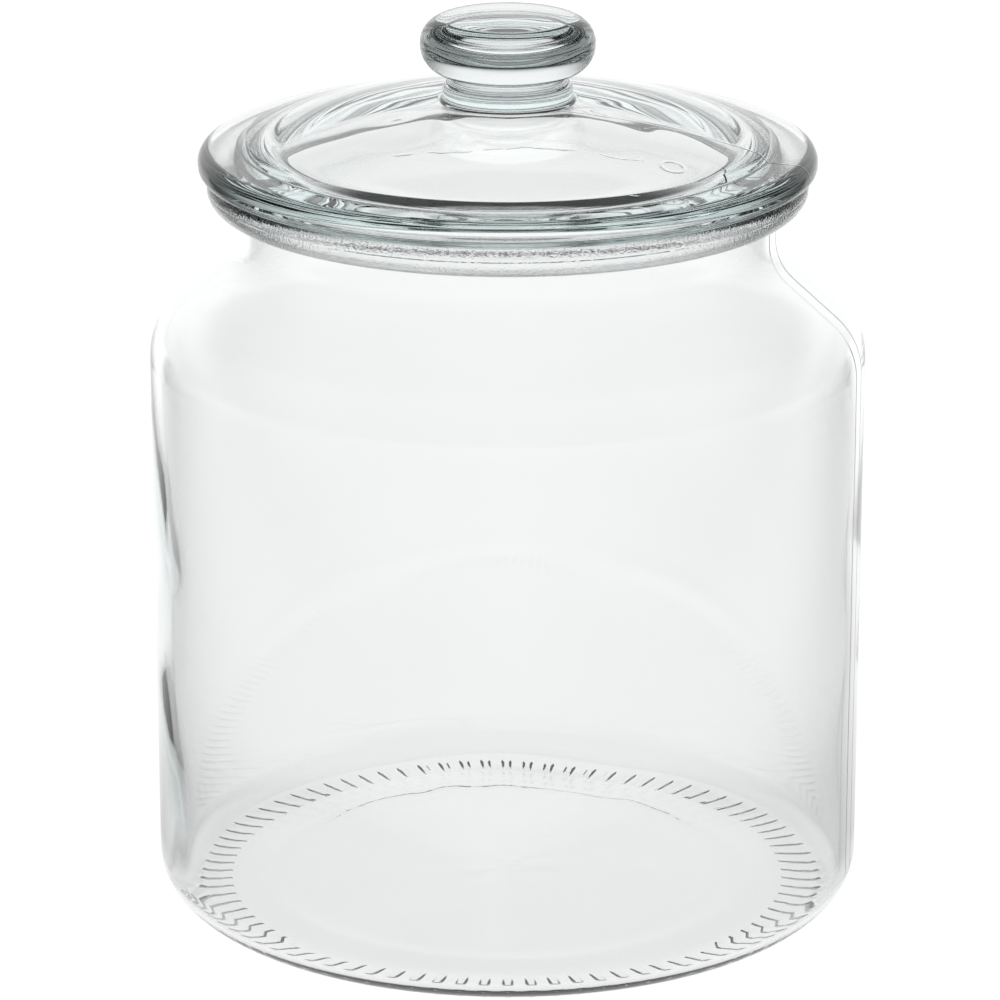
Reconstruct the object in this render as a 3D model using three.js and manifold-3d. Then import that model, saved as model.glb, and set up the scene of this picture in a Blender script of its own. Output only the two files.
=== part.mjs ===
// An empty glass storage jar with a domed glass lid, in millimetres, +Z up.
// Both pieces are turned about the Z axis. The jar stands on a ring of low bars at z = 0.
import * as THREE from "three";
import { mergeVertices } from "three/addons/utils/BufferGeometryUtils.js";
import Module from "manifold-3d";

// Driving dimensions of the jar
const BODY_RADIUS = 70;
const BODY_TAPER = 0.4;
const WALL = 3;
const FLOOR_THICKNESS = 3;
const FLOOR_CROWN = 0.6;
const HEEL_RADIUS = 9.2;
const INNER_HEEL_RADIUS = 4.5;
const SHOULDER_HEIGHT = 111.1;
const SHOULDER_RADIUS = 14;
const SHOULDER_SLOPE = 40.6;
const NECK_RADIUS = 52.8;
const NECK_FILLET = 10;
const BORE_RADIUS = 49.5;
const BEAD_RADIUS = 58.4;
const BEAD_BOTTOM = 141.7;
const BEAD_LOWER_ROUND = 3.4;
const BEAD_UPPER_ROUND = 2.2;
const RIM_HEIGHT = 147.5;
const RIM_INNER_ROUND = 0.7;

// The underside: a hollow push-up inside the ring that carries the bars
const BAR_COUNT = 84;
const BAR_HEIGHT = 0.5;
const BAR_INNER_RADIUS = 56;
const BAR_OUTER_RADIUS = 62.4;
const BAR_ROOT_WIDTH = 1.9;
const BAR_CREST_WIDTH = 0.9;
const BAR_SUNK = 0.4;
const PUSH_UP_RADIUS = 53.5;
const PUSH_UP_STEP = 0.3;
const PUSH_UP_HEIGHT = 0.8;

// Driving dimensions of the lid
const SEAT_GAP = 0.35;
const FLANGE_RADIUS = 60.1;
const FLANGE_THICKNESS = 5;
const FLANGE_UPPER_ROUND = 2.8;
const FLANGE_LOWER_ROUND = 1.85;
const FLANGE_INNER_RADIUS = 52.2;
const FLANGE_TILT = 0.4;
const DOME_EDGE_RADIUS = 50.7;
const DOME_EDGE_RISE = 2;
const DOME_RISE = 7;
const DOME_THICKNESS = 3.8;
const DOME_EDGE_THICKNESS = 7;
const UNDER_EDGE_RISE = 0.1;
const PLUG_RADIUS = 48.9;
const PLUG_INNER_RADIUS = 46.5;
const PLUG_DEPTH = 6.2;
const PLUG_ROUND = 0.45;
const PLUG_INNER_FILLET = 1.2;
const COLLAR_RADIUS = 12.6;
const COLLAR_HEIGHT = 3.5;
const COLLAR_ROUND = 1.1;
const COLLAR_FOOT_FILLET = 1.6;
const STEM_RADIUS = 11.2;
const KNOB_RADIUS = 17;
const KNOB_UPPER_ROUND = 5;
const KNOB_LOWER_ROUND = 5.7;
const KNOB_CROWN = 0.4;
const KNOB_HEIGHT = 178.3;

// How finely round shapes are faceted
const TURNS = 64;
const CHORD_ERROR = 0.1;

const radians = THREE.MathUtils.degToRad;
const point = (r, z) => new THREE.Vector2(r, z);

// A round stretch of an outline about a centre, from one angle to another in degrees.
function round(r, z, radius, from, to) {
  const step = 2 * Math.acos(1 - CHORD_ERROR / radius);
  const steps = Math.max(2, Math.ceil(Math.abs(radians(to - from)) / step));
  const points = [];
  for (let i = 0; i <= steps; i++) {
    const angle = radians(from + ((to - from) * i) / steps);
    points.push(point(r + radius * Math.cos(angle), z + radius * Math.sin(angle)));
  }
  return points;
}

// A shallow arc through two points whose circle is centred on the axis.
function crown(rFrom, zFrom, rTo, zTo) {
  const centre = (rTo ** 2 + zTo ** 2 - rFrom ** 2 - zFrom ** 2) / (2 * (zTo - zFrom));
  const radius = Math.hypot(rFrom, zFrom - centre);
  const angle = (r, z) => THREE.MathUtils.radToDeg(Math.atan2(z - centre, r));
  return round(0, centre, radius, angle(rFrom, zFrom), angle(rTo, zTo));
}

// Turns an outline about the Z axis. It runs from the axis, round the outside, back to the axis.
function turned(outline) {
  const geometry = new THREE.LatheGeometry(outline.flat(), TURNS);
  return geometry.rotateX(Math.PI / 2);
}

// The outer cone between the shoulder's round and the neck's fillet is given by its normal.
const slopeNormal = point(Math.sin(radians(SHOULDER_SLOPE)), Math.cos(radians(SHOULDER_SLOPE)));

// Height of the centre of the neck's fillet, for a shoulder round and a fillet that the cone touches.
function neckFilletHeight(shoulderRadius, neckRadius, fillet) {
  const shoulderCentre = BODY_RADIUS - SHOULDER_RADIUS;
  const across = shoulderCentre - neckRadius - fillet;
  const along = (across * slopeNormal.x + shoulderRadius + fillet) / slopeNormal.y;
  return SHOULDER_HEIGHT + along;
}

function jarOutline() {
  const ring = BAR_HEIGHT;
  const pushUpEdge = ring + PUSH_UP_STEP;
  const pushUp = ring + PUSH_UP_HEIGHT;
  const floor = ring + FLOOR_THICKNESS;
  const shoulderCentre = BODY_RADIUS - SHOULDER_RADIUS;
  const slopeAngle = 90 - SHOULDER_SLOPE;
  const filletHeight = neckFilletHeight(SHOULDER_RADIUS, NECK_RADIUS, NECK_FILLET);
  const innerShoulder = SHOULDER_RADIUS - WALL;
  const innerFillet = NECK_FILLET + WALL;
  const innerFilletHeight = neckFilletHeight(innerShoulder, BORE_RADIUS, innerFillet);
  const footRadius = BODY_RADIUS - BODY_TAPER;
  const innerHeelCentre = footRadius - WALL - INNER_HEEL_RADIUS;
  return [
    crown(0, pushUp, PUSH_UP_RADIUS - PUSH_UP_STEP, pushUpEdge),
    [point(PUSH_UP_RADIUS + PUSH_UP_STEP, ring)],
    round(footRadius - HEEL_RADIUS, ring + HEEL_RADIUS, HEEL_RADIUS, -90, 0),
    round(shoulderCentre, SHOULDER_HEIGHT, SHOULDER_RADIUS, 0, slopeAngle),
    round(NECK_RADIUS + NECK_FILLET, filletHeight, NECK_FILLET, 180 + slopeAngle, 180),
    [point(NECK_RADIUS, BEAD_BOTTOM)],
    round(BEAD_RADIUS - BEAD_LOWER_ROUND, BEAD_BOTTOM + BEAD_LOWER_ROUND, BEAD_LOWER_ROUND, -90, 0),
    round(BEAD_RADIUS - BEAD_UPPER_ROUND, RIM_HEIGHT - BEAD_UPPER_ROUND, BEAD_UPPER_ROUND, 0, 90),
    round(BORE_RADIUS + RIM_INNER_ROUND, RIM_HEIGHT - RIM_INNER_ROUND, RIM_INNER_ROUND, 90, 180),
    round(BORE_RADIUS + innerFillet, innerFilletHeight, innerFillet, 180, 180 + slopeAngle),
    round(shoulderCentre, SHOULDER_HEIGHT, innerShoulder, slopeAngle, 0),
    round(innerHeelCentre, floor + INNER_HEEL_RADIUS, INNER_HEEL_RADIUS, 0, -90),
    crown(innerHeelCentre, floor, 0, floor + FLOOR_CROWN).slice(1),
  ];
}

function lidOutline() {
  const seat = RIM_HEIGHT + SEAT_GAP;
  const flangeTop = seat + FLANGE_THICKNESS;
  const domeEdge = flangeTop + DOME_EDGE_RISE;
  const domeTop = domeEdge + DOME_RISE;
  const plugBottom = seat - PLUG_DEPTH;
  const underEdge = domeEdge - DOME_EDGE_THICKNESS;
  const underReach = PLUG_INNER_RADIUS - PLUG_INNER_FILLET;
  const collarTop = domeTop + COLLAR_HEIGHT;
  const knobShoulder = KNOB_HEIGHT - KNOB_CROWN;
  const knobWaist = knobShoulder - KNOB_UPPER_ROUND;
  const knobTopRadius = KNOB_RADIUS - KNOB_UPPER_ROUND;
  return [
    crown(0, domeTop - DOME_THICKNESS, underReach, underEdge + UNDER_EDGE_RISE),
    [point(PLUG_INNER_RADIUS, underEdge - PLUG_INNER_FILLET)],
    round(PLUG_INNER_RADIUS + PLUG_ROUND, plugBottom + PLUG_ROUND, PLUG_ROUND, 180, 270),
    round(PLUG_RADIUS - PLUG_ROUND, plugBottom + PLUG_ROUND, PLUG_ROUND, -90, 0),
    [point(PLUG_RADIUS, seat)],
    round(FLANGE_RADIUS - FLANGE_LOWER_ROUND, seat + FLANGE_LOWER_ROUND, FLANGE_LOWER_ROUND, -90, 0),
    round(FLANGE_RADIUS - FLANGE_UPPER_ROUND, flangeTop - FLANGE_UPPER_ROUND, FLANGE_UPPER_ROUND, 0, 90),
    [point(FLANGE_INNER_RADIUS, flangeTop + FLANGE_TILT)],
    crown(DOME_EDGE_RADIUS, domeEdge, COLLAR_RADIUS + COLLAR_FOOT_FILLET, domeTop),
    round(COLLAR_RADIUS - COLLAR_ROUND, collarTop - COLLAR_ROUND, COLLAR_ROUND, 0, 90),
    [point(STEM_RADIUS, collarTop + COLLAR_ROUND / 2)],
    round(KNOB_RADIUS - KNOB_LOWER_ROUND, knobWaist, KNOB_LOWER_ROUND, -80, 0),
    round(knobTopRadius, knobWaist, KNOB_UPPER_ROUND, 0, 90),
    crown(knobTopRadius, knobShoulder, 0, KNOB_HEIGHT).slice(1),
  ];
}

const wasm = await Module();
wasm.setup();

function solidOf(geometry) {
  const bare = geometry.clone().deleteAttribute("normal").deleteAttribute("uv");
  const merged = mergeVertices(bare);
  return new wasm.Manifold(
    new wasm.Mesh({
      numProp: 3,
      vertProperties: merged.attributes.position.array,
      triVerts: new Uint32Array(merged.index.array),
    }),
  );
}

function geometryOf(solid) {
  const { vertProperties, triVerts } = solid.getMesh();
  const geometry = new THREE.BufferGeometry();
  geometry.setAttribute("position", new THREE.BufferAttribute(vertProperties, 3));
  geometry.setIndex(new THREE.BufferAttribute(triVerts, 1));
  geometry.computeVertexNormals();
  return geometry;
}

// One low bar of the standing ring: a trapezium section, drawn out along the radius towards +X.
function standingBar() {
  const root = BAR_ROOT_WIDTH / 2;
  const crest = BAR_CREST_WIDTH / 2;
  const top = BAR_HEIGHT + BAR_SUNK;
  const section = new THREE.Shape([
    point(-crest, 0),
    point(crest, 0),
    point(root, BAR_HEIGHT),
    point(root, top),
    point(-root, top),
    point(-root, BAR_HEIGHT),
  ]);
  const length = BAR_OUTER_RADIUS - BAR_INNER_RADIUS;
  const bar = new THREE.ExtrudeGeometry(section, { depth: length, bevelEnabled: false });
  bar.rotateX(Math.PI / 2).rotateZ(Math.PI / 2);
  return bar.translate(BAR_INNER_RADIUS, 0, 0);
}

function jarGeometry() {
  let solid = solidOf(turned(jarOutline()));
  for (let i = 0; i < BAR_COUNT; i++) {
    const bar = standingBar().rotateZ((2 * Math.PI * i) / BAR_COUNT);
    solid = solid.add(solidOf(bar));
  }
  return geometryOf(solid);
}

const clearGlass = new THREE.MeshStandardMaterial({
  name: "clear_glass",
  color: 0xeef4f1,
  roughness: 0.03,
  metalness: 0,
  transparent: true,
  opacity: 0.35,
});
const lidGlass = clearGlass.clone();
lidGlass.name = "lid_glass";
lidGlass.color.set(0xdfe9e4);

const jar = new THREE.Mesh(jarGeometry(), clearGlass);
jar.name = "jar";

const lid = new THREE.Mesh(turned(lidOutline()), lidGlass);
lid.name = "lid";

const jarWithLid = new THREE.Group();
jarWithLid.name = "jar_with_lid";
jarWithLid.add(jar, lid);

export default jarWithLid;
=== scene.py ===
"""Clear glass storage jar with a domed glass lid, dressed for the studio. Metres, +Z up."""
import math

import bpy
import numpy as np
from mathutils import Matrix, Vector


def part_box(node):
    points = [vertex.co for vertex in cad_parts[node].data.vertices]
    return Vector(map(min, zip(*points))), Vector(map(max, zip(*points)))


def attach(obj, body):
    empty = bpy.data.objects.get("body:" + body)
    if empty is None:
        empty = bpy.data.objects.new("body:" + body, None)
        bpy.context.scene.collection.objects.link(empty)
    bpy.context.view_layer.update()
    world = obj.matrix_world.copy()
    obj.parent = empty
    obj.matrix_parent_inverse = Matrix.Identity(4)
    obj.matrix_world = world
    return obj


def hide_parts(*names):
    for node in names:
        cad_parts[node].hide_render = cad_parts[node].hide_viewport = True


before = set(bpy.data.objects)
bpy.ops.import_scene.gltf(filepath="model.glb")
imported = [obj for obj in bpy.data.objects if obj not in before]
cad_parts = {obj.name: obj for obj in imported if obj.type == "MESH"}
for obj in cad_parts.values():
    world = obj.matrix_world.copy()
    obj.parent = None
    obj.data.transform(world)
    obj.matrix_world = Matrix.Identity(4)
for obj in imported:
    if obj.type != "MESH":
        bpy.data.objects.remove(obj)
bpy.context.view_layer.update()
JAR_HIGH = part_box("jar")[1]
LID_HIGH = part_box("lid")[1]
MM = 0.001

# Jar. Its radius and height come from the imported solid
BODY_RADIUS = JAR_HIGH.x
RIM_HEIGHT = JAR_HIGH.z
BODY_TAPER = 0.4 * MM
WALL = 3.0 * MM
FLOOR_THICKNESS = 3.0 * MM
FLOOR_CROWN = 0.6 * MM
HEEL_RADIUS = 9.2 * MM
INNER_HEEL_RADIUS = 4.5 * MM
SHOULDER_HEIGHT = 111.1 * MM
SHOULDER_RADIUS = 14.0 * MM
SHOULDER_SLOPE = math.radians(40.6)
NECK_RADIUS = 52.8 * MM
NECK_FILLET = 10.0 * MM
BORE_RADIUS = 49.5 * MM
BEAD_RADIUS = 58.4 * MM
BEAD_BOTTOM = 141.7 * MM
BEAD_LOWER_ROUND = 3.4 * MM
BEAD_UPPER_ROUND = 2.2 * MM
BEAD_NECK_FILLET = 0.8 * MM
RIM_INNER_ROUND = 0.7 * MM

# Standing ring under the base
BAR_COUNT = 84
BAR_HEIGHT = 0.5 * MM
BAR_INNER_RADIUS = 56.0 * MM
BAR_OUTER_RADIUS = 62.4 * MM
BAR_HALF_WIDTH = 1.15 * MM
BAR_FLATNESS = 1.6
BAR_RING_MARGIN = 1.0 * MM
BAR_RING_LIFT = 0.5 * MM
PUSH_UP_RADIUS = 53.5 * MM
PUSH_UP_STEP = 0.3 * MM
PUSH_UP_HEIGHT = 0.8 * MM
PUSH_UP_CROWN_INSET = 9.0 * MM
PUSH_UP_SLOPE_INSET = 6.0 * MM
PUSH_UP_SLOPE_OUTSET = 1.0 * MM
PUSH_UP_INNER_FILLET = 60.0 * MM
PUSH_UP_OUTER_FILLET = 40.0 * MM

# Lid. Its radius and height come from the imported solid
FLANGE_RADIUS = LID_HIGH.x
KNOB_HEIGHT = LID_HIGH.z
SEAT_GAP = 0.35 * MM
SEAT_FILLET = 0.6 * MM
FLANGE_THICKNESS = 5.0 * MM
FLANGE_UPPER_ROUND = 2.8 * MM
FLANGE_LOWER_ROUND = 1.85 * MM
FLANGE_INNER_RADIUS = 52.2 * MM
FLANGE_TILT = 0.4 * MM
STEP_FILLET = 1.2 * MM
DOME_EDGE_RADIUS = 50.7 * MM
DOME_EDGE_RISE = 2.0 * MM
DOME_EDGE_FILLET = 0.4 * MM
DOME_CROWN_INSET = 2.0 * MM
DOME_CROWN_RISE = 0.7 * MM
DOME_RISE = 7.0 * MM
DOME_THICKNESS = 3.8 * MM
DOME_EDGE_THICKNESS = 7.0 * MM
UNDER_EDGE_RISE = 0.1 * MM
PLUG_RADIUS = 48.9 * MM
PLUG_INNER_RADIUS = 46.5 * MM
PLUG_DEPTH = 6.2 * MM
PLUG_ROUND = 0.45 * MM
PLUG_INNER_FILLET = 1.2 * MM
UNDER_EDGE_INSET = 1.3 * PLUG_INNER_FILLET
COLLAR_RADIUS = 12.6 * MM
COLLAR_HEIGHT = 3.5 * MM
COLLAR_MARGIN = 2.0 * MM
COLLAR_FOOT_RISE = 0.2 * MM
COLLAR_FOOT_FILLET = 1.2 * MM
COLLAR_ROUND = 1.0 * MM
STEM_RADIUS = 11.2 * MM
STEM_FOOT_FILLET = 0.8 * MM
STEM_TOP_FILLET = 0.6 * MM
KNOB_RADIUS = 17.0 * MM
KNOB_UPPER_ROUND = 5.0 * MM
KNOB_LOWER_ROUND = 5.7 * MM
KNOB_UPPER_SHARE = 0.97
KNOB_LOWER_SHARE = 0.98
KNOB_CROWN = 0.4 * MM
KNOB_CROWN_REACH = 0.4 * KNOB_RADIUS
KNOB_CROWN_DROP = 0.2 * KNOB_CROWN

# Fineness of the turned meshes
FINE_TURNS = BAR_COUNT * 16
COARSE_TURNS = BAR_COUNT * 4
ARC_STEP = math.radians(6)
LEAST_ARC_STEPS = 4
CROWN_POINTS = 12
JAR_STEP = 3.0 * MM
LID_STEP = 2.4 * MM
TINY = 1e-6

# Glass
GLASS_IOR = 1.52
GLASS_TINT = (0.62, 0.85, 0.83, 1)
JAR_DENSITY = 6.0
LID_DENSITY = 6.0

# Waves in the skin. A ripple has a seed, its most turns round the axis and its length along the glass
RIPPLES = 9
WALL_WAVE = 0.10 * MM
WALL_RIPPLE = (3, 9, 90.0 * MM)
WALL_WAVE_FADE = 20.0 * MM
FLOOR_WAVE = 0.03 * MM
FLOOR_RIPPLE = (5, 7, 30.0 * MM)
FLOOR_WAVE_FADE = 10.0 * MM
SMEAR_DEPTH = 0.5 * MM
SMEAR_BEARING = math.radians(185)
SMEAR_WIDTH = 0.17
SMEAR_HEIGHTS = (74 * MM, 26 * MM)
SMEAR_REACH = 15 * MM
SMEAR_LEAN_LENGTH = 4 * BODY_RADIUS
SMEAR_UNEVENNESS = 0.3
SMEAR_RIPPLE = (8, 40, 30.0 * MM)
DOME_TOP_WAVE = 0.03 * MM
DOME_TOP_RIPPLE = (21, 12, 25.0 * MM)
DOME_UNDER_WAVE = 0.08 * MM
DOME_UNDER_RIPPLE = (34, 15, 20.0 * MM)
DOME_WAVE_INSET = 3.0 * MM
DOME_WAVE_FADE = 8.0 * MM

# Marks of the mould and of cooling. A seam has a bearing about the axis and a distance beside it
JAR_SEAM = (math.radians(-12), 0.0)
LID_SEAM = (math.radians(-9), -7.8 * MM)
SEAM_WIDTH = 0.3 * MM
SEAM_HEIGHT = 0.2 * MM
JAR_FLOW_LENGTH = 14.0 * MM
JAR_FLOW_HEIGHT = 0.008 * MM
LID_FLOW_LENGTH = 9.0 * MM
LID_FLOW_HEIGHT = 0.006 * MM
FLOW_DETAIL = 1.5
GRAIN_SIZE = 0.5 * MM
GRAIN_HEIGHT = 0.12 * MM
GRAIN_DETAIL = 2.0
CREASE_PLACE = -26.0 * MM
CREASE_WANDER = 8.0 * MM
CREASE_WANDER_LENGTH = 11.0 * MM
CREASE_WANDER_DETAIL = 2.5
CREASE_REACH = (23.0 * MM, 26.0 * MM)
CREASE_WIDTH = 0.5 * MM
CREASE_HEIGHT = 0.1 * MM
DASH_LENGTH = 4.0 * MM
DASH_DETAIL = 1.0
DASH_EDGES = (0.42, 0.55)
CHILL_PITCH = 60.0 * MM
CHILL_DISTORTION = 5.0
CHILL_DETAIL = 2.0
CHILL_DETAIL_SCALE = 0.6
CHILL_HEIGHT = 0.015 * MM
BASE_MARK_RADIUS = 45.0 * MM
BASE_MARK_WANDER = 12.0 * MM
BASE_MARK_WANDER_LENGTH = 22.0 * MM
BASE_MARK_WANDER_DETAIL = 2.0
BASE_MARK_WIDTH = 0.5 * MM
BASE_MARK_HEIGHT = 0.05 * MM
BASE_MARK_REACH = (18.0 * MM, 34.0 * MM)
BUBBLE_PLACE = (31.0 * MM, -32.0 * MM, 156.5 * MM)
BUBBLE_RADIUS = 2.2 * MM
BUBBLE_EDGE = 0.7 * MM
MARKED_FACES = {
    "outer_skin": ("outside", "bead", "flange", "dome"),
    "sealing_face": ("rim", "plug", "bead"),
    "dome_face": ("dome",),
    "base_face": ("base",),
}

# Camera of the photograph, in the object's frame
CAMERA_PLACE = Vector((-0.0015, -1.087777, 0.431783))
CAMERA_PITCH = math.radians(17.9)
FOCAL_PIXELS = 5786.9
IMAGE_PIXELS = 1000
SENSOR_WIDTH = 36.0

# Studio: a light table and a white wall in a dark room. Pairs are where a fade starts and ends
TABLE_LIGHT = 1.02
TABLE_DIM = 0.18
# Glow of the table under the jar, a little below full: a painted shade under the jar, fading out by the
# edge below
UNDER_JAR_SHADE = 0.9
UNDER_JAR_EDGE = 1.5 * BODY_RADIUS
TABLE_LEFT = (-0.02, 0.16)
TABLE_RIGHT = (-0.03, 0.18)
TABLE_FRONT = (0.03, 0.22)
TABLE_SPREAD = 0.8
TABLE_NEAR = 0.95
TABLE_FAR = 1.06
TABLE_DEPTH = 0.5
TABLE_RING = (0.15, 0.6)
TABLE_RING_LIGHT = 0.3
TABLE_RADIUS = 3.0
TABLE_SIDES = 64
TABLE_DROP = 0.2 * MM
WALL_BEARING = (math.radians(20), math.radians(75))
WALL_RISE = (math.radians(14), math.radians(40))
ROOM_LIGHT = 0.01
LIGHT_BOUNCES = 12
TRANSPARENT_BOUNCES = 32


def corner(r, z, fillet, face):
    """One corner of an outline, the radius that rounds it and the name of the face that follows."""
    return np.array((r, z)), fillet, face


def crown(r_from, z_from, r_to, z_to, face):
    """Corners along a shallow arc through two points, with its centre on the axis."""
    centre = (r_to ** 2 + z_to ** 2 - r_from ** 2 - z_from ** 2) / (2 * (z_to - z_from))
    radius = math.hypot(r_from, z_from - centre)
    side = math.copysign(1, z_from - centre)
    reaches = np.linspace(r_from, r_to, CROWN_POINTS)
    return [corner(r, centre + side * math.sqrt(radius ** 2 - r ** 2), 0, face) for r in reaches]


def rounded_outline(corners, longest):
    """Points of an outline and their faces. Corners are rounded by arcs and long stretches are split."""
    points = [(corners[0][0], corners[0][2])]
    for (before, _, _), (here, fillet, face), (after, _, _) in zip(corners, corners[1:], corners[2:]):
        if fillet == 0:
            points.append((here, face))
            continue
        to_before = (before - here) / np.linalg.norm(before - here)
        to_after = (after - here) / np.linalg.norm(after - here)
        opening = math.acos(np.clip(to_before @ to_after, -1, 1))
        reach = fillet / math.tan(opening / 2)
        middle = to_before + to_after
        centre = here + middle / np.linalg.norm(middle) * fillet / math.sin(opening / 2)
        start = here + to_before * reach - centre
        end = here + to_after * reach - centre
        turn = math.atan2(start[0] * end[1] - start[1] * end[0], start @ end)
        steps = max(LEAST_ARC_STEPS, math.ceil(abs(turn) / ARC_STEP))
        for angle in np.linspace(0, turn, steps + 1):
            spin = np.array(((math.cos(angle), -math.sin(angle)), (math.sin(angle), math.cos(angle))))
            points.append((centre + spin @ start, face))
    points.append((corners[-1][0], corners[-1][2]))
    split = [points[0]]
    for (here, face), (after, _) in zip(points, points[1:]):
        length = np.linalg.norm(after - here)
        if length < TINY:
            continue
        for share in np.linspace(0, 1, math.ceil(length / longest) + 1)[1:]:
            split.append((here + (after - here) * share, face))
    return split


def jar_outline():
    """The jar's section, from the axis under the base round the outside to the axis inside."""
    ring = BAR_HEIGHT
    push_up_edge = ring + PUSH_UP_STEP
    floor = ring + FLOOR_THICKNESS
    foot = BODY_RADIUS - BODY_TAPER
    slope = math.tan(SHOULDER_SLOPE)
    half_turn = math.tan((math.pi / 2 - SHOULDER_SLOPE) / 2)
    shoulder_corner = SHOULDER_HEIGHT + SHOULDER_RADIUS * half_turn
    neck_corner = shoulder_corner + (BODY_RADIUS - NECK_RADIUS) * slope
    inner_radius = BODY_RADIUS - WALL
    inner_round = SHOULDER_RADIUS - WALL
    inner_shoulder = SHOULDER_HEIGHT + inner_round * half_turn
    inner_neck = inner_shoulder + (inner_radius - BORE_RADIUS) * slope
    return rounded_outline([
        *crown(0, ring + PUSH_UP_HEIGHT, PUSH_UP_RADIUS - PUSH_UP_CROWN_INSET, push_up_edge, "base"),
        corner(PUSH_UP_RADIUS - PUSH_UP_SLOPE_INSET, push_up_edge, PUSH_UP_INNER_FILLET, "base"),
        corner(PUSH_UP_RADIUS + PUSH_UP_SLOPE_OUTSET, ring, PUSH_UP_OUTER_FILLET, "base"),
        corner(foot, ring, HEEL_RADIUS, "outside"),
        corner(BODY_RADIUS, shoulder_corner, SHOULDER_RADIUS, "outside"),
        corner(NECK_RADIUS, neck_corner, NECK_FILLET, "outside"),
        corner(NECK_RADIUS, BEAD_BOTTOM, BEAD_NECK_FILLET, "outside"),
        corner(BEAD_RADIUS, BEAD_BOTTOM, BEAD_LOWER_ROUND, "bead"),
        corner(BEAD_RADIUS, BEAD_BOTTOM + BEAD_LOWER_ROUND, 0, "outside"),
        corner(BEAD_RADIUS, RIM_HEIGHT, BEAD_UPPER_ROUND, "rim"),
        corner(BORE_RADIUS, RIM_HEIGHT, RIM_INNER_ROUND, "bore"),
        corner(BORE_RADIUS, inner_neck, NECK_FILLET + WALL, "inside"),
        corner(inner_radius, inner_shoulder, inner_round, "inside"),
        corner(foot - WALL, floor, INNER_HEEL_RADIUS, "floor"),
        *crown(foot - WALL - 2 * INNER_HEEL_RADIUS, floor, 0, floor + FLOOR_CROWN, "floor"),
    ], JAR_STEP)


def lid_outline():
    """The lid's section, from the axis under the dome round the outside to the knob's top."""
    seat = RIM_HEIGHT + SEAT_GAP
    flange_top = seat + FLANGE_THICKNESS
    dome_edge = flange_top + DOME_EDGE_RISE
    dome_top = dome_edge + DOME_RISE
    collar_top = dome_top + COLLAR_HEIGHT
    knob_shoulder = KNOB_HEIGHT - KNOB_CROWN
    knob_bottom = knob_shoulder - KNOB_UPPER_ROUND - KNOB_LOWER_ROUND
    under_edge = dome_edge - DOME_EDGE_THICKNESS
    plug_bottom = seat - PLUG_DEPTH
    under_reach = PLUG_INNER_RADIUS - UNDER_EDGE_INSET
    dome_from = DOME_EDGE_RADIUS - DOME_CROWN_INSET
    dome_to = COLLAR_RADIUS + COLLAR_MARGIN
    return rounded_outline([
        *crown(0, dome_top - DOME_THICKNESS, under_reach, under_edge + UNDER_EDGE_RISE, "under"),
        corner(PLUG_INNER_RADIUS, under_edge, PLUG_INNER_FILLET, "plug_inside"),
        corner(PLUG_INNER_RADIUS, plug_bottom, PLUG_ROUND, "plug"),
        corner(PLUG_RADIUS, plug_bottom, PLUG_ROUND, "plug"),
        corner(PLUG_RADIUS, seat, SEAT_FILLET, "seat"),
        corner(FLANGE_RADIUS, seat, FLANGE_LOWER_ROUND, "flange"),
        corner(FLANGE_RADIUS, flange_top, FLANGE_UPPER_ROUND, "flange"),
        corner(FLANGE_INNER_RADIUS, flange_top + FLANGE_TILT, STEP_FILLET, "flange"),
        corner(DOME_EDGE_RADIUS, dome_edge, DOME_EDGE_FILLET, "dome"),
        *crown(dome_from, dome_edge + DOME_CROWN_RISE, dome_to, dome_top, "dome"),
        corner(COLLAR_RADIUS, dome_top + COLLAR_FOOT_RISE, COLLAR_FOOT_FILLET, "knob"),
        corner(COLLAR_RADIUS, collar_top, COLLAR_ROUND, "knob"),
        corner(STEM_RADIUS, collar_top, STEM_FOOT_FILLET, "knob"),
        corner(STEM_RADIUS, knob_bottom, STEM_TOP_FILLET, "knob"),
        corner(KNOB_RADIUS, knob_bottom, KNOB_LOWER_ROUND * KNOB_LOWER_SHARE, "knob"),
        corner(KNOB_RADIUS, knob_shoulder, KNOB_UPPER_ROUND * KNOB_UPPER_SHARE, "knob"),
        *crown(KNOB_CROWN_REACH, KNOB_HEIGHT - KNOB_CROWN_DROP, 0, KNOB_HEIGHT, "knob"),
    ], LID_STEP)


def bar_relief(r, angle):
    """Depth of the standing bars below their ring: round ridges along the radius."""
    pitch = 2 * math.pi / BAR_COUNT
    across = (np.mod(angle + pitch / 2, pitch) - pitch / 2) * r
    low = BAR_INNER_RADIUS + BAR_HALF_WIDTH
    high = BAR_OUTER_RADIUS - BAR_HALF_WIDTH
    along = r - np.clip(r, low, high)
    share = np.clip(BAR_FLATNESS * (1 - np.hypot(across, along) / BAR_HALF_WIDTH), 0, 1)
    return BAR_HEIGHT * np.sin(share * math.pi / 2) ** 2


def ripple(angle, along, seed, most_turns, length):
    """Gentle irregular waves between about -1 and 1: a seeded sum of ripples round and along the glass."""
    draw = np.random.default_rng(seed)
    total = np.zeros_like(angle)
    for _ in range(RIPPLES):
        around = draw.integers(1, most_turns + 1)
        lean = draw.normal(0, 2 * math.pi / length)
        total += np.cos(around * angle + lean * along + draw.uniform(0, 2 * math.pi))
    return total / math.sqrt(RIPPLES * 2)


def ring_side(first, count, i, turns):
    """The points of one ring along step i of a band with that many steps."""
    if count == 1:
        return [first]
    share = count // turns
    return [first + (i * share + k) % count for k in range(share + 1)]


def on_bar_ring(r, z):
    """True on the ring under the base that carries the bars."""
    beside = BAR_INNER_RADIUS - BAR_RING_MARGIN < r < BAR_OUTER_RADIUS + BAR_RING_MARGIN
    return beside and z < BAR_HEIGHT + BAR_RING_LIFT


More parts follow.
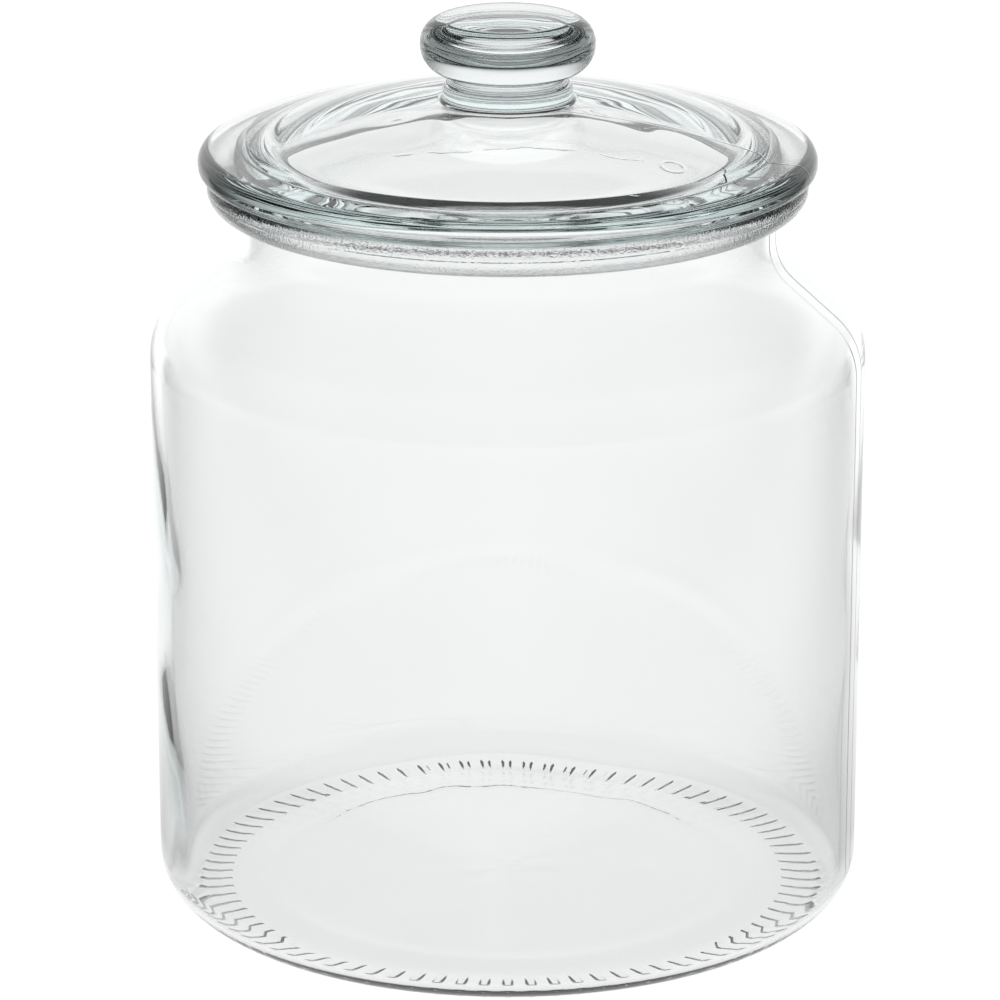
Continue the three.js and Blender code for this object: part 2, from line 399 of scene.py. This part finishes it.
def turned_mesh(name, outline, relief):
    """Turns an outline about Z and presses the relief into it. The ring of bars gets more points."""
    verts = []
    rings = []
    marks = {label: [] for label in MARKED_FACES}
    for (r, z), face in outline:
        turns = 1
        if r > TINY:
            turns = FINE_TURNS if on_bar_ring(r, z) else COARSE_TURNS
        angle = np.arange(turns) * (2 * math.pi / turns)
        outward, upward = relief(face, r, z, angle)
        radius = r + outward
        rings.append((len(verts), turns))
        verts.extend(np.column_stack((radius * np.cos(angle), radius * np.sin(angle), z + upward)).tolist())
        for label, names in MARKED_FACES.items():
            marks[label].extend([float(face in names)] * turns)
    faces = []
    for (a, count_a), (b, count_b) in zip(rings, rings[1:]):
        turns = min(count for count in (count_a, count_b) if count > 1)
        for i in range(turns):
            faces.append(ring_side(a, count_a, i, turns) + ring_side(b, count_b, i, turns)[::-1])
    mesh = bpy.data.meshes.new(name)
    mesh.from_pydata(verts, [], faces)
    for label, values in marks.items():
        mesh.attributes.new(label, "FLOAT", "POINT").data.foreach_set("value", values)
    mesh.shade_smooth()
    piece = bpy.data.objects.new(name, mesh)
    bpy.context.scene.collection.objects.link(piece)
    return piece


def near_bearing(angle, bearing, width):
    """A soft hump round one bearing about the axis, 1 there and 0 far from it."""
    return np.exp((np.cos(angle - bearing) - 1) / width ** 2)


def smears(z, angle):
    """Thick places that run down the inside of the wall at one bearing."""
    total = np.zeros_like(angle)
    for height in SMEAR_HEIGHTS:
        tall = math.exp(-((z - height) / SMEAR_REACH) ** 2)
        lean = (height - z) / SMEAR_LEAN_LENGTH
        total += SMEAR_DEPTH * tall * near_bearing(angle, SMEAR_BEARING + lean, SMEAR_WIDTH)
    return total * (1 + SMEAR_UNEVENNESS * ripple(angle, z, *SMEAR_RIPPLE))


def jar_relief(face, r, z, angle):
    """How far the jar's skin lies out and up from its outline: bars below, waves and smears inside."""
    flat = np.zeros_like(angle)
    if face == "base" or on_bar_ring(r, z):
        return flat, -bar_relief(r, angle)
    if face == "inside":
        wave = WALL_WAVE * ripple(angle, z, *WALL_RIPPLE)
        fading = np.clip((SHOULDER_HEIGHT + SHOULDER_RADIUS - z) / WALL_WAVE_FADE, 0, 1)
        return wave * fading - smears(z, angle), flat
    if face == "floor":
        settled = np.clip((BODY_RADIUS - WALL - INNER_HEEL_RADIUS - r) / FLOOR_WAVE_FADE, 0, 1)
        return flat, FLOOR_WAVE * settled * ripple(angle, r, *FLOOR_RIPPLE)
    return flat, flat


def lid_relief(face, r, z, angle):
    """How far the lid's skin lies out and up from its outline: waves in the dome, stronger underneath."""
    flat = np.zeros_like(angle)
    if face not in ("dome", "under"):
        return flat, flat
    off_edge = np.clip((PLUG_INNER_RADIUS - DOME_WAVE_INSET - r) / DOME_WAVE_FADE, 0, 1)
    off_axis = np.clip((r - COLLAR_RADIUS - COLLAR_MARGIN) / DOME_WAVE_FADE, 0, 1)
    if face == "dome":
        return flat, DOME_TOP_WAVE * off_edge * off_axis * ripple(angle, r, *DOME_TOP_RIPPLE)
    return flat, DOME_UNDER_WAVE * off_edge * off_axis * ripple(angle, r, *DOME_UNDER_RIPPLE)


def fade(tree, value, start, end, first, last):
    """Goes smoothly from the first level to the last as a value goes from start to end."""
    ramp = tree.nodes.new("ShaderNodeMapRange")
    ramp.interpolation_type = "SMOOTHSTEP"
    tree.links.new(value, ramp.inputs["Value"])
    for socket, number in (("From Min", start), ("From Max", end), ("To Min", first), ("To Max", last)):
        ramp.inputs[socket].default_value = number
    return ramp.outputs["Result"]


def math_node(tree, operation, first, second=None):
    """One step of arithmetic on one or two sockets or numbers."""
    node = tree.nodes.new("ShaderNodeMath")
    node.operation = operation
    for socket, value in zip(node.inputs, (first, second)):
        if isinstance(value, bpy.types.NodeSocket):
            tree.links.new(value, socket)
        elif value is not None:
            socket.default_value = value
    return node.outputs["Value"]


def object_place(tree):
    """The place on a piece, in the frame, and the sockets of its X, Y and Z."""
    place = tree.nodes.new("ShaderNodeTexCoord").outputs["Object"]
    split = tree.nodes.new("ShaderNodeSeparateXYZ")
    tree.links.new(place, split.inputs["Vector"])
    return place, split.outputs


def distance(tree, place, point):
    """How far a place is from a point."""
    node = tree.nodes.new("ShaderNodeVectorMath")
    node.operation = "DISTANCE"
    tree.links.new(place, node.inputs[0])
    node.inputs[1].default_value = point
    return node.outputs["Value"]


def mesh_value(tree, name):
    """A number that the mesh carries at its points."""
    node = tree.nodes.new("ShaderNodeAttribute")
    node.attribute_name = name
    return node.outputs["Fac"]


def noise(tree, place, scale, detail):
    """A smooth noise between 0 and 1 at a place."""
    node = tree.nodes.new("ShaderNodeTexNoise")
    tree.links.new(place, node.inputs["Vector"])
    if isinstance(scale, bpy.types.NodeSocket):
        tree.links.new(scale, node.inputs["Scale"])
    else:
        node.inputs["Scale"].default_value = scale
    node.inputs["Detail"].default_value = detail
    return node.outputs["Fac"]


def chill_marks(tree):
    """Marks of cooling on the lid's dome, as a height: a crease, a bubble and rings round the knob."""
    place, axes = object_place(tree)
    roaming = noise(tree, place, 1 / CREASE_WANDER_LENGTH, CREASE_WANDER_DETAIL)
    wander = math_node(tree, "MULTIPLY", roaming, CREASE_WANDER)
    off_crease = math_node(tree, "SUBTRACT", math_node(tree, "ADD", axes["Y"], wander), CREASE_PLACE)
    crease = fade(tree, math_node(tree, "ABSOLUTE", off_crease), 0.0, CREASE_WIDTH, 1.0, 0.0)
    reach = fade(tree, math_node(tree, "ABSOLUTE", axes["X"]), *CREASE_REACH, 1.0, 0.0)
    dashes = fade(tree, noise(tree, place, 1 / DASH_LENGTH, DASH_DETAIL), *DASH_EDGES, 0.0, 1.0)
    crease = math_node(tree, "MULTIPLY", crease, math_node(tree, "MULTIPLY", reach, dashes))
    off_bubble = math_node(tree, "SUBTRACT", distance(tree, place, BUBBLE_PLACE), BUBBLE_RADIUS)
    bubble = fade(tree, math_node(tree, "ABSOLUTE", off_bubble), 0.0, BUBBLE_EDGE, 1.0, 0.0)
    rings = tree.nodes.new("ShaderNodeTexWave")
    rings.wave_type = "RINGS"
    rings.rings_direction = "Z"
    tree.links.new(place, rings.inputs["Vector"])
    rings.inputs["Scale"].default_value = 1 / CHILL_PITCH
    rings.inputs["Distortion"].default_value = CHILL_DISTORTION
    rings.inputs["Detail"].default_value = CHILL_DETAIL
    rings.inputs["Detail Scale"].default_value = CHILL_DETAIL_SCALE
    chill = math_node(tree, "MULTIPLY", rings.outputs["Fac"], CHILL_HEIGHT)
    mark = math_node(tree, "MULTIPLY", math_node(tree, "MAXIMUM", crease, bubble), CREASE_HEIGHT)
    return math_node(tree, "MULTIPLY", math_node(tree, "ADD", mark, chill), mesh_value(tree, "dome_face"))


def base_marks(tree):
    """A wandering line that the mould's bottom leaves on the far side of the base, as a height."""
    place, axes = object_place(tree)
    roaming = noise(tree, place, 1 / BASE_MARK_WANDER_LENGTH, BASE_MARK_WANDER_DETAIL)
    wander = math_node(tree, "MULTIPLY", math_node(tree, "SUBTRACT", roaming, 0.5), BASE_MARK_WANDER)
    from_axis = math_node(tree, "ADD", distance(tree, place, (0, 0, 0)), wander)
    from_ring = math_node(tree, "ABSOLUTE", math_node(tree, "SUBTRACT", from_axis, BASE_MARK_RADIUS))
    line = fade(tree, from_ring, 0.0, BASE_MARK_WIDTH, BASE_MARK_HEIGHT, 0.0)
    far_side = fade(tree, axes["Y"], *BASE_MARK_REACH, 0.0, 1.0)
    line = math_node(tree, "MULTIPLY", line, far_side)
    return math_node(tree, "MULTIPLY", line, mesh_value(tree, "base_face"))


def pressed_glass_group():
    """Marks that the mould leaves in glass, as heights: a seam, flow lines and grainy sealing faces."""
    group = bpy.data.node_groups.new("pressed_glass", "ShaderNodeTree")
    for label in ("Seam Bearing", "Seam Offset", "Seam Width", "Flow Length", "Grain Size"):
        group.interface.new_socket(label, in_out="INPUT", socket_type="NodeSocketFloat")
    for label in ("Seam", "Flow", "Grain"):
        group.interface.new_socket(label, in_out="OUTPUT", socket_type="NodeSocketFloat")
    given = group.nodes.new("NodeGroupInput").outputs
    result = group.nodes.new("NodeGroupOutput").inputs
    place, axes = object_place(group)
    across = math_node(group, "MULTIPLY", axes["Y"], math_node(group, "COSINE", given["Seam Bearing"]))
    along = math_node(group, "MULTIPLY", axes["X"], math_node(group, "SINE", given["Seam Bearing"]))
    from_axis = math_node(group, "SUBTRACT", across, along)
    off_seam = math_node(group, "ABSOLUTE", math_node(group, "SUBTRACT", from_axis, given["Seam Offset"]))
    seam = fade(group, math_node(group, "DIVIDE", off_seam, given["Seam Width"]), 0.0, 1.0, 1.0, 0.0)
    one_side = math_node(group, "GREATER_THAN", axes["X"], 0.0)
    skin = math_node(group, "MULTIPLY", mesh_value(group, "outer_skin"), one_side)
    group.links.new(math_node(group, "MULTIPLY", seam, skin), result["Seam"])
    flow = noise(group, place, math_node(group, "DIVIDE", 1.0, given["Flow Length"]), FLOW_DETAIL)
    group.links.new(flow, result["Flow"])
    grit = noise(group, place, math_node(group, "DIVIDE", 1.0, given["Grain Size"]), GRAIN_DETAIL)
    group.links.new(math_node(group, "MULTIPLY", grit, mesh_value(group, "sealing_face")), result["Grain"])
    return group


def glass(name, density, seam_place, flow_length, flow_height, own_marks):
    """Clear glass with a faint tint in its depth and the mould's marks on its skin."""
    material = bpy.data.materials.new(name)
    material.use_nodes = True
    tree = material.node_tree
    shader = tree.nodes["Principled BSDF"]
    shader.inputs["Base Color"].default_value = (1, 1, 1, 1)
    shader.inputs["Transmission Weight"].default_value = 1.0
    shader.inputs["Roughness"].default_value = 0.0
    shader.inputs["IOR"].default_value = GLASS_IOR
    absorb = tree.nodes.new("ShaderNodeVolumeAbsorption")
    absorb.inputs["Color"].default_value = GLASS_TINT
    absorb.inputs["Density"].default_value = density
    tree.links.new(absorb.outputs["Volume"], tree.nodes["Material Output"].inputs["Volume"])
    mould = tree.nodes.new("ShaderNodeGroup")
    mould.node_tree = PRESSED_GLASS
    marks = {"Seam Bearing": seam_place[0], "Seam Offset": seam_place[1], "Seam Width": SEAM_WIDTH,
             "Flow Length": flow_length, "Grain Size": GRAIN_SIZE}
    for label, value in marks.items():
        mould.inputs[label].default_value = value
    seam = math_node(tree, "MULTIPLY", mould.outputs["Seam"], SEAM_HEIGHT)
    flow = math_node(tree, "MULTIPLY", mould.outputs["Flow"], flow_height)
    grain = math_node(tree, "MULTIPLY", mould.outputs["Grain"], GRAIN_HEIGHT)
    height = math_node(tree, "ADD", math_node(tree, "ADD", seam, flow), grain)
    height = math_node(tree, "ADD", height, own_marks(tree))
    bump = tree.nodes.new("ShaderNodeBump")
    bump.inputs["Strength"].default_value = 1.0
    bump.inputs["Distance"].default_value = 1.0
    tree.links.new(height, bump.inputs["Height"])
    tree.links.new(bump.outputs["Normal"], shader.inputs["Normal"])
    return material


def add_piece(piece, node, material):
    """Dresses one piece and lets it stand for its solid."""
    piece.data.materials.append(material)
    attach(piece, "root")
    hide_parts(node)


PRESSED_GLASS = pressed_glass_group()
jar_glass = glass("clear_glass", JAR_DENSITY, JAR_SEAM, JAR_FLOW_LENGTH, JAR_FLOW_HEIGHT, base_marks)
add_piece(turned_mesh("glass_jar", jar_outline(), jar_relief), "jar", jar_glass)
lid_glass = glass("lid_glass", LID_DENSITY, LID_SEAM, LID_FLOW_LENGTH, LID_FLOW_HEIGHT, chill_marks)
add_piece(turned_mesh("glass_lid", lid_outline(), lid_relief), "lid", lid_glass)


def glow(name):
    """A material that only shines, its node tree and the socket that sets how brightly."""
    material = bpy.data.materials.new(name)
    material.use_nodes = True
    material.cycles.emission_sampling = "NONE"
    tree = material.node_tree
    tree.nodes.clear()
    shine = tree.nodes.new("ShaderNodeEmission")
    output = tree.nodes.new("ShaderNodeOutputMaterial")
    tree.links.new(shine.outputs["Emission"], output.inputs["Surface"])
    return material, tree, shine.inputs["Strength"]


def card(name, corners, material):
    """A flat sheet of the studio."""
    mesh = bpy.data.meshes.new(name)
    mesh.from_pydata(corners, [], [tuple(range(len(corners)))])
    mesh.materials.append(material)
    sheet = bpy.data.objects.new(name, mesh)
    bpy.context.scene.collection.objects.link(sheet)


def seen_directly(tree):
    """1 for what the camera sees straight, 0 for what it sees by way of the glass."""
    return tree.nodes.new("ShaderNodeLightPath").outputs["Is Camera Ray"]


def studio_floor():
    """A plain white table. The glass finds it bright under and behind the jar, dim beside and before it,
    and a little less dim far out. Under the jar it glows at a set level a little below full, a painted
    shade under the jar."""
    material, tree, strength = glow("light_table")
    place, axes = object_place(tree)
    from_axis = distance(tree, place, (0, 0, 0))
    # Painted shade under the jar: the table there glows at a set level a little below full
    under = fade(tree, from_axis, BODY_RADIUS, UNDER_JAR_EDGE, UNDER_JAR_SHADE, 0.0)
    behind = math_node(tree, "MULTIPLY", math_node(tree, "MAXIMUM", axes["Y"], 0.0), TABLE_SPREAD)
    to_left = math_node(tree, "SUBTRACT", math_node(tree, "MULTIPLY", axes["X"], -1.0), behind)
    to_right = math_node(tree, "SUBTRACT", axes["X"], behind)
    to_front = math_node(tree, "MULTIPLY", axes["Y"], -1.0)
    left = fade(tree, to_left, *TABLE_LEFT, 1.0, TABLE_DIM)
    right = fade(tree, to_right, *TABLE_RIGHT, 1.0, TABLE_DIM)
    front = fade(tree, to_front, *TABLE_FRONT, 1.0, TABLE_DIM)
    along = fade(tree, axes["Y"], 0.0, TABLE_DEPTH, TABLE_NEAR, TABLE_FAR)
    light = math_node(tree, "MINIMUM", left, right)
    for share in (front, along):
        light = math_node(tree, "MULTIPLY", light, share)
    ring = fade(tree, from_axis, *TABLE_RING, 0.0, TABLE_RING_LIGHT)
    for share in (under, ring):
        light = math_node(tree, "MAXIMUM", light, share)
    shown = math_node(tree, "MAXIMUM", light, seen_directly(tree))
    tree.links.new(math_node(tree, "MULTIPLY", shown, TABLE_LIGHT), strength)
    turn = np.arange(TABLE_SIDES) * (2 * math.pi / TABLE_SIDES)
    rim = np.column_stack((np.cos(turn), np.sin(turn))) * TABLE_RADIUS
    card("light_table", [(x, y, -TABLE_DROP) for x, y in rim], material)


def studio_world():
    """The room as the glass finds it: white behind the jar, dark elsewhere. Seen straight it is white."""
    world = bpy.data.worlds.new("studio")
    world.use_nodes = True
    tree = world.node_tree
    background = tree.nodes["Background"]
    background.inputs["Color"].default_value = (1, 1, 1, 1)
    split = tree.nodes.new("ShaderNodeSeparateXYZ")
    tree.links.new(tree.nodes.new("ShaderNodeTexCoord").outputs["Generated"], split.inputs["Vector"])
    across = math_node(tree, "ABSOLUTE", split.outputs["X"])
    bearing = math_node(tree, "ARCTAN2", across, split.outputs["Y"])
    rise = math_node(tree, "ARCSINE", split.outputs["Z"])
    beside = fade(tree, bearing, *WALL_BEARING, 1.0, 0.0)
    above = fade(tree, rise, *WALL_RISE, 1.0, 0.0)
    wall = math_node(tree, "MAXIMUM", math_node(tree, "MULTIPLY", beside, above), ROOM_LIGHT)
    shown = math_node(tree, "MAXIMUM", wall, seen_directly(tree))
    tree.links.new(shown, background.inputs["Strength"])
    bpy.context.scene.world = world


def photo_camera():
    """The camera that took the photograph."""
    data = bpy.data.cameras.new("photo_camera")
    data.sensor_width = SENSOR_WIDTH
    data.lens = FOCAL_PIXELS / IMAGE_PIXELS * SENSOR_WIDTH
    camera = bpy.data.objects.new("photo_camera", data)
    camera.location = CAMERA_PLACE
    camera.rotation_euler = (math.pi / 2 - CAMERA_PITCH, 0, 0)
    bpy.context.scene.collection.objects.link(camera)
    bpy.context.scene.camera = camera


studio_floor()
studio_world()
photo_camera()

settings = bpy.context.scene
settings.view_settings.view_transform = "Standard"
settings.cycles.max_bounces = LIGHT_BOUNCES
settings.cycles.transmission_bounces = LIGHT_BOUNCES
settings.cycles.glossy_bounces = LIGHT_BOUNCES
settings.cycles.transparent_max_bounces = TRANSPARENT_BOUNCES
